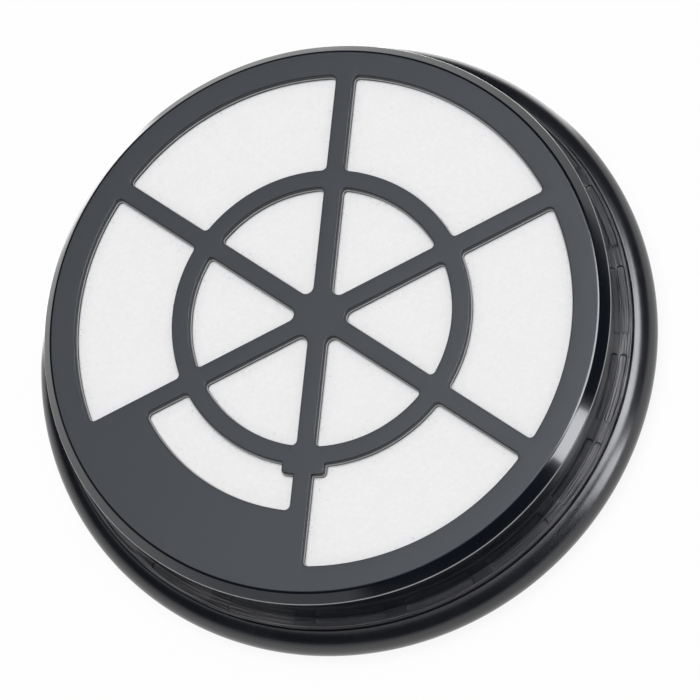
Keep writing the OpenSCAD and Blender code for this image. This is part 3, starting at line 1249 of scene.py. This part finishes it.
@dataclass
class SpacerLines:
    """Threads of adhesive that hold the pleats apart, in front and at the back."""

    pack: PleatedPack
    spacing: float = 25.0
    lines: int = 2
    half_width: float = 0.75
    cap: float = 0.4
    dip: float = 1.9
    finish: Finish = CastAdhesive("hot_melt_adhesive", (0.83, 0.81, 0.74), 0.35)

    def _thread(self, y: float, back: bool) -> Loop:
        """Middle of one thread as (x, z), over the tips and down between them.

        Args:
            y: The line's place across the pack.
            back: Whether it lies on the back tips.

        Returns:
            The points.
        """
        end = math.sqrt(self.pack.radius**2 - (abs(y) + self.half_width) ** 2) - 0.3
        pitch = self.pack.pitch
        base = self.pack.low_z - self.cap if back else self.pack.high_z + self.cap
        sign = 1 if back else -1
        phase = self.pack.tips()[0] + (pitch / 2 if back else 0.0)
        points: Loop = []
        count = int(2 * end / (pitch / 8))
        for i in range(count + 1):
            x = -end + 2 * end * i / count
            depth = 0.5 - 0.5 * math.cos(math.tau * (x - phase) / pitch)
            points.append((x, base + sign * (self.half_width + self.dip * depth**1.6)))
        return points

    def build(self) -> bpy.types.Object:
        """Models all threads as one piece.

        Returns:
            The piece.
        """
        curve = bpy.data.curves.new("spacer_threads", "CURVE")
        curve.dimensions = "3D"
        curve.bevel_depth = self.half_width * MM
        curve.bevel_resolution = 2
        curve.use_fill_caps = True
        for k in range(-self.lines, self.lines + 1):
            for back in (True, False):
                y = k * self.spacing
                thread = self._thread(y, back)
                spline = curve.splines.new("POLY")
                spline.points.add(len(thread) - 1)
                for point, (x, z) in zip(spline.points, thread):
                    point.co = (x * MM, y * MM, z * MM, 1.0)
        threads = bpy.data.objects.new("spacer_threads", curve)
        bpy.context.collection.objects.link(threads)
        Bench.take(threads)
        bpy.ops.object.convert(target="MESH")
        threads = bpy.context.view_layer.objects.active
        Bench.weld(threads)
        Bench.smooth(threads, 60.0)
        return Bench.finish(threads, self.finish, "hot_melt", "spacer_beads")


@dataclass
class PottingRing:
    """Adhesive between the pack and the wall, drawn up a little at both edges."""

    inner: float = 66.0
    outer: float = 70.0
    low_z: float = 3.0
    high_z: float = 27.0
    slope: float = 1.0
    meniscus: float = 0.5
    steps: int = 240
    finish: Finish = CastAdhesive("potting_adhesive", (0.74, 0.7, 0.6), 0.3, ripple=6.0)

    def build(self) -> bpy.types.Object:
        """Models the ring.

        Returns:
            The piece.
        """
        half = (self.outer - self.inner) / 2
        radius = (half**2 + self.meniscus**2) / (2 * self.meniscus)
        spread = math.degrees(math.asin(half / radius))
        middle = ((self.inner + self.outer) / 2, self.low_z + self.meniscus - radius)
        surface = arc(middle, radius, 90 + spread, 90 - spread, 6.0)
        profile = [
            *surface,
            (self.outer, self.high_z - self.slope),
            (self.outer - self.slope, self.high_z),
            (self.inner, self.high_z),
        ]
        ring = Bench.turned("potting_adhesive_ring", profile, self.steps, closed=True)
        Bench.smooth(ring, 40.0)
        return Bench.finish(ring, self.finish, "potting", "potting_ring")


# Studio


@dataclass
class Studio:
    """Floor, light and camera."""

    camera_at: tuple[float, float, float] = (206.21, -214.74, 746.52)
    right: tuple[float, float, float] = (0.96621, 0.10025, -0.23748)
    up: tuple[float, float, float] = (-0.02967, 0.9584, 0.28387)
    forward: tuple[float, float, float] = (-0.25606, 0.26723, -0.92899)
    lens: float = 162.53
    dome_radius: float = 4000.0
    overhead: float = 0.65
    softbox: float = 9.2
    gloom: float = 0.02
    horizon: float = 1.0
    horizon_rise: float = 0.042
    horizon_lean: float = 0.156
    horizon_heading: float = -60.0
    daylight: float = 0.2
    lamp_power: float = 17.2
    floor_glow: float = 0.9
    floor_colour: float = 0.9
    card_in: float = 82.0
    card_out: float = 125.0
    card_z: float = 0.5

    @staticmethod
    def _seen(sheet: NodeSheet) -> Wire:
        """1 where the camera, a reflection or a transmission looks, else 0."""
        path = sheet.make("ShaderNodeLightPath")
        seen = sheet.wire(path, "Is Camera Ray").higher_of(sheet.wire(path, "Is Transmission Ray"))
        return seen.higher_of(sheet.wire(path, "Is Glossy Ray"))

    def floor(self) -> None:
        """Plain pale floor, white to the camera and open to the object's shadow."""
        bpy.ops.object.select_all(action="DESELECT")
        bpy.ops.mesh.primitive_plane_add(size=12.0, location=(0, 0, 0))
        floor = bpy.context.view_layer.objects.active
        floor.name = "studio_floor"
        material = bpy.data.materials.new("studio_floor")
        material.use_nodes = True
        sheet = NodeSheet(material.node_tree)
        matte = sheet.make("ShaderNodeBsdfDiffuse", sockets={"Color": (self.floor_colour,) * 3 + (1.0,)})
        white = sheet.make("ShaderNodeEmission", sockets={"Color": (1.0, 1.0, 1.0, 1.0), "Strength": 1.0})
        mixed = sheet.make(
            "ShaderNodeMixShader",
            sockets={0: self._seen(sheet) * self.floor_glow, 1: sheet.wire(matte), 2: sheet.wire(white)},
        )
        sheet.make("ShaderNodeOutputMaterial", sockets={"Surface": sheet.wire(mixed)})
        floor.data.materials.append(material)

    def surroundings(self) -> None:
        """White world for the camera and for matte light."""
        world = bpy.data.worlds.new("studio_world")
        world.use_nodes = True
        bpy.context.scene.world = world
        sheet = NodeSheet(world.node_tree)
        strength = self.daylight + self._seen(sheet) * (1.0 - self.daylight)
        back = sheet.make("ShaderNodeBackground", sockets={"Color": (1.0, 1.0, 1.0, 1.0), "Strength": strength})
        sheet.make("ShaderNodeOutputWorld", sockets={"Surface": sheet.wire(back)})

    @staticmethod
    def _panel(azimuth: Wire, z: Wire, across: Point, upright: Point) -> Wire:
        """1 inside a softbox on the dome.

        Args:
            azimuth: Direction round the axis in radians.
            z: Height on the dome of radius 1.
            across: The panel's first and last azimuth in degrees.
            upright: Its lowest and highest elevation in degrees.

        Returns:
            The panel's mask, with soft edges.
        """
        left, right = across
        sides = azimuth.ramp(math.radians(left - 0.6), math.radians(left + 0.6))
        sides = sides * azimuth.ramp(math.radians(right + 0.6), math.radians(right - 0.6))
        foot, head = (math.sin(math.radians(angle)) for angle in upright)
        return sides * z.ramp(foot - 0.02, foot + 0.02) * z.ramp(head + 0.02, head - 0.02)

    def reflections(self) -> None:
        """A dome that only reflections see: pale overhead, dark walls, bright horizon and two softboxes."""
        bpy.ops.object.select_all(action="DESELECT")
        bpy.ops.mesh.primitive_uv_sphere_add(segments=64, ring_count=32, radius=self.dome_radius * MM, location=(0, 0, 0))
        dome = bpy.context.view_layer.objects.active
        dome.name = "reflection_dome"
        material = bpy.data.materials.new("reflection_dome")
        material.use_nodes = True
        sheet = NodeSheet(material.node_tree)
        x, y, z = sheet.split(sheet.place((1 / (self.dome_radius * MM),) * 3))
        azimuth = sheet.wire(sheet.make("ShaderNodeMath", {"operation": "ARCTAN2"}, {0: y, 1: x}))
        above = z.ramp(math.sin(math.radians(58)), math.sin(math.radians(76)))
        lean_x, lean_y = polar(self.horizon_lean, self.horizon_heading)
        tilted = z - x * lean_x - y * lean_y
        dark_side = azimuth.ramp(math.radians(-91), math.radians(-83))
        low = dark_side * tilted.ramp(self.horizon_rise + 0.02, self.horizon_rise - 0.02)
        low = low + (1.0 - dark_side) * z.ramp(0.34, 0.2)
        low = low * 0.68 + z.ramp(0.1, -0.06) * 0.32
        boxes = self._panel(azimuth, z, (-21.7, -6.7), (8.0, 46.0))
        for across, upright in (((-5.0, 52.0), (47.0, 74.0)), ((20.0, 85.0), (63.0, 80.0))):
            boxes = boxes.higher_of(self._panel(azimuth, z, across, upright))
        pale = self._panel(azimuth, z, (158.0, 181.0), (50.0, 70.0))
        pale = pale.higher_of(self._panel(azimuth, z, (-181.0, -158.0), (50.0, 70.0)))
        light = self.gloom + above * self.overhead + low * self.horizon + boxes * self.softbox + pale * 0.45
        glow = sheet.make("ShaderNodeEmission", sockets={"Color": (0.95, 0.965, 1.0, 1.0), "Strength": light})
        sheet.make("ShaderNodeOutputMaterial", sockets={"Surface": sheet.wire(glow)})
        dome.data.materials.append(material)
        self._reflected_only(dome)

    @staticmethod
    def _reflected_only(obj: bpy.types.Object) -> None:
        """Makes a piece of the studio that only reflections see."""
        obj.visible_camera = False
        obj.visible_diffuse = False
        obj.visible_transmission = False
        obj.visible_shadow = False

    def card(self, name: str, middle: float, spread: float, strength: float) -> None:
        """A bright card on the floor beside the part, which only reflections see.

        Args:
            name: The card's name.
            middle: Direction of its middle in degrees.
            spread: How far it reaches to either side in degrees.
            strength: Its brightness, where the floor has 1.
        """
        inner = arc((0.0, 0.0), self.card_in, middle - spread, middle + spread, 4.0)
        outer = arc((0.0, 0.0), self.card_out, middle + spread, middle - spread, 4.0)
        card = Bench.flat_cut(name, [[*inner, *outer]], 0.0, self.card_z)
        material = bpy.data.materials.new(name)
        material.use_nodes = True
        sheet = NodeSheet(material.node_tree)
        seen = sheet.towards(middle).ramp(math.cos(math.radians(spread)), math.cos(math.radians(spread * 0.7)))
        glow = sheet.make("ShaderNodeEmission", sockets={"Strength": strength})
        clear = sheet.make("ShaderNodeBsdfTransparent")
        mixed = sheet.make("ShaderNodeMixShader", sockets={0: seen, 1: sheet.wire(clear), 2: sheet.wire(glow)})
        sheet.make("ShaderNodeOutputMaterial", sockets={"Surface": sheet.wire(mixed)})
        card.data.materials.append(material)
        self._reflected_only(card)

    def lamps(self) -> None:
        """One wide soft lamp overhead, which reflections don't see."""
        data = bpy.data.lights.new("overhead_lamp", "AREA")
        data.shape = "DISK"
        data.size = 1.1
        data.energy = self.lamp_power
        lamp = bpy.data.objects.new("overhead_lamp", data)
        bpy.context.collection.objects.link(lamp)
        lamp.location = (0.03, 0.03, 1.35)
        lamp.rotation_euler = (Vector((0, 0, 0)) - lamp.location).to_track_quat("-Z", "Y").to_euler()
        lamp.visible_glossy = False

    def camera(self) -> None:
        """Camera at the photograph's viewing angle."""
        data = bpy.data.cameras.new("camera")
        data.lens = self.lens
        data.sensor_width = 36.0
        camera = bpy.data.objects.new("camera", data)
        bpy.context.collection.objects.link(camera)
        axes = Matrix((self.right, self.up, tuple(-c for c in self.forward))).transposed()
        camera.matrix_world = Matrix.Translation(Vector(self.camera_at) * MM) @ axes.to_4x4()
        bpy.context.scene.camera = camera

    def build(self) -> None:
        """Sets the whole studio up."""
        self.camera()
        self.floor()
        self.surroundings()
        self.reflections()
        self.card("floor_card_behind", 76.0, 30.0, 3.2)
        self.card("floor_card_left", 158.0, 26.0, 3.5)
        self.lamps()
        bpy.context.scene.view_settings.view_transform = "Standard"


def main() -> None:
    """Loads the frame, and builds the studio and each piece."""
    logging.basicConfig(level=logging.INFO, format="%(message)s")
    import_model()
    Studio().build()
    HousingMoulding().build()
    SealRing().build()
    pack = PleatedPack()
    pack.build()
    SpacerLines(pack).build()
    PottingRing().build()
    CoverFleece().build()


if __name__ == "__main__":
    main()
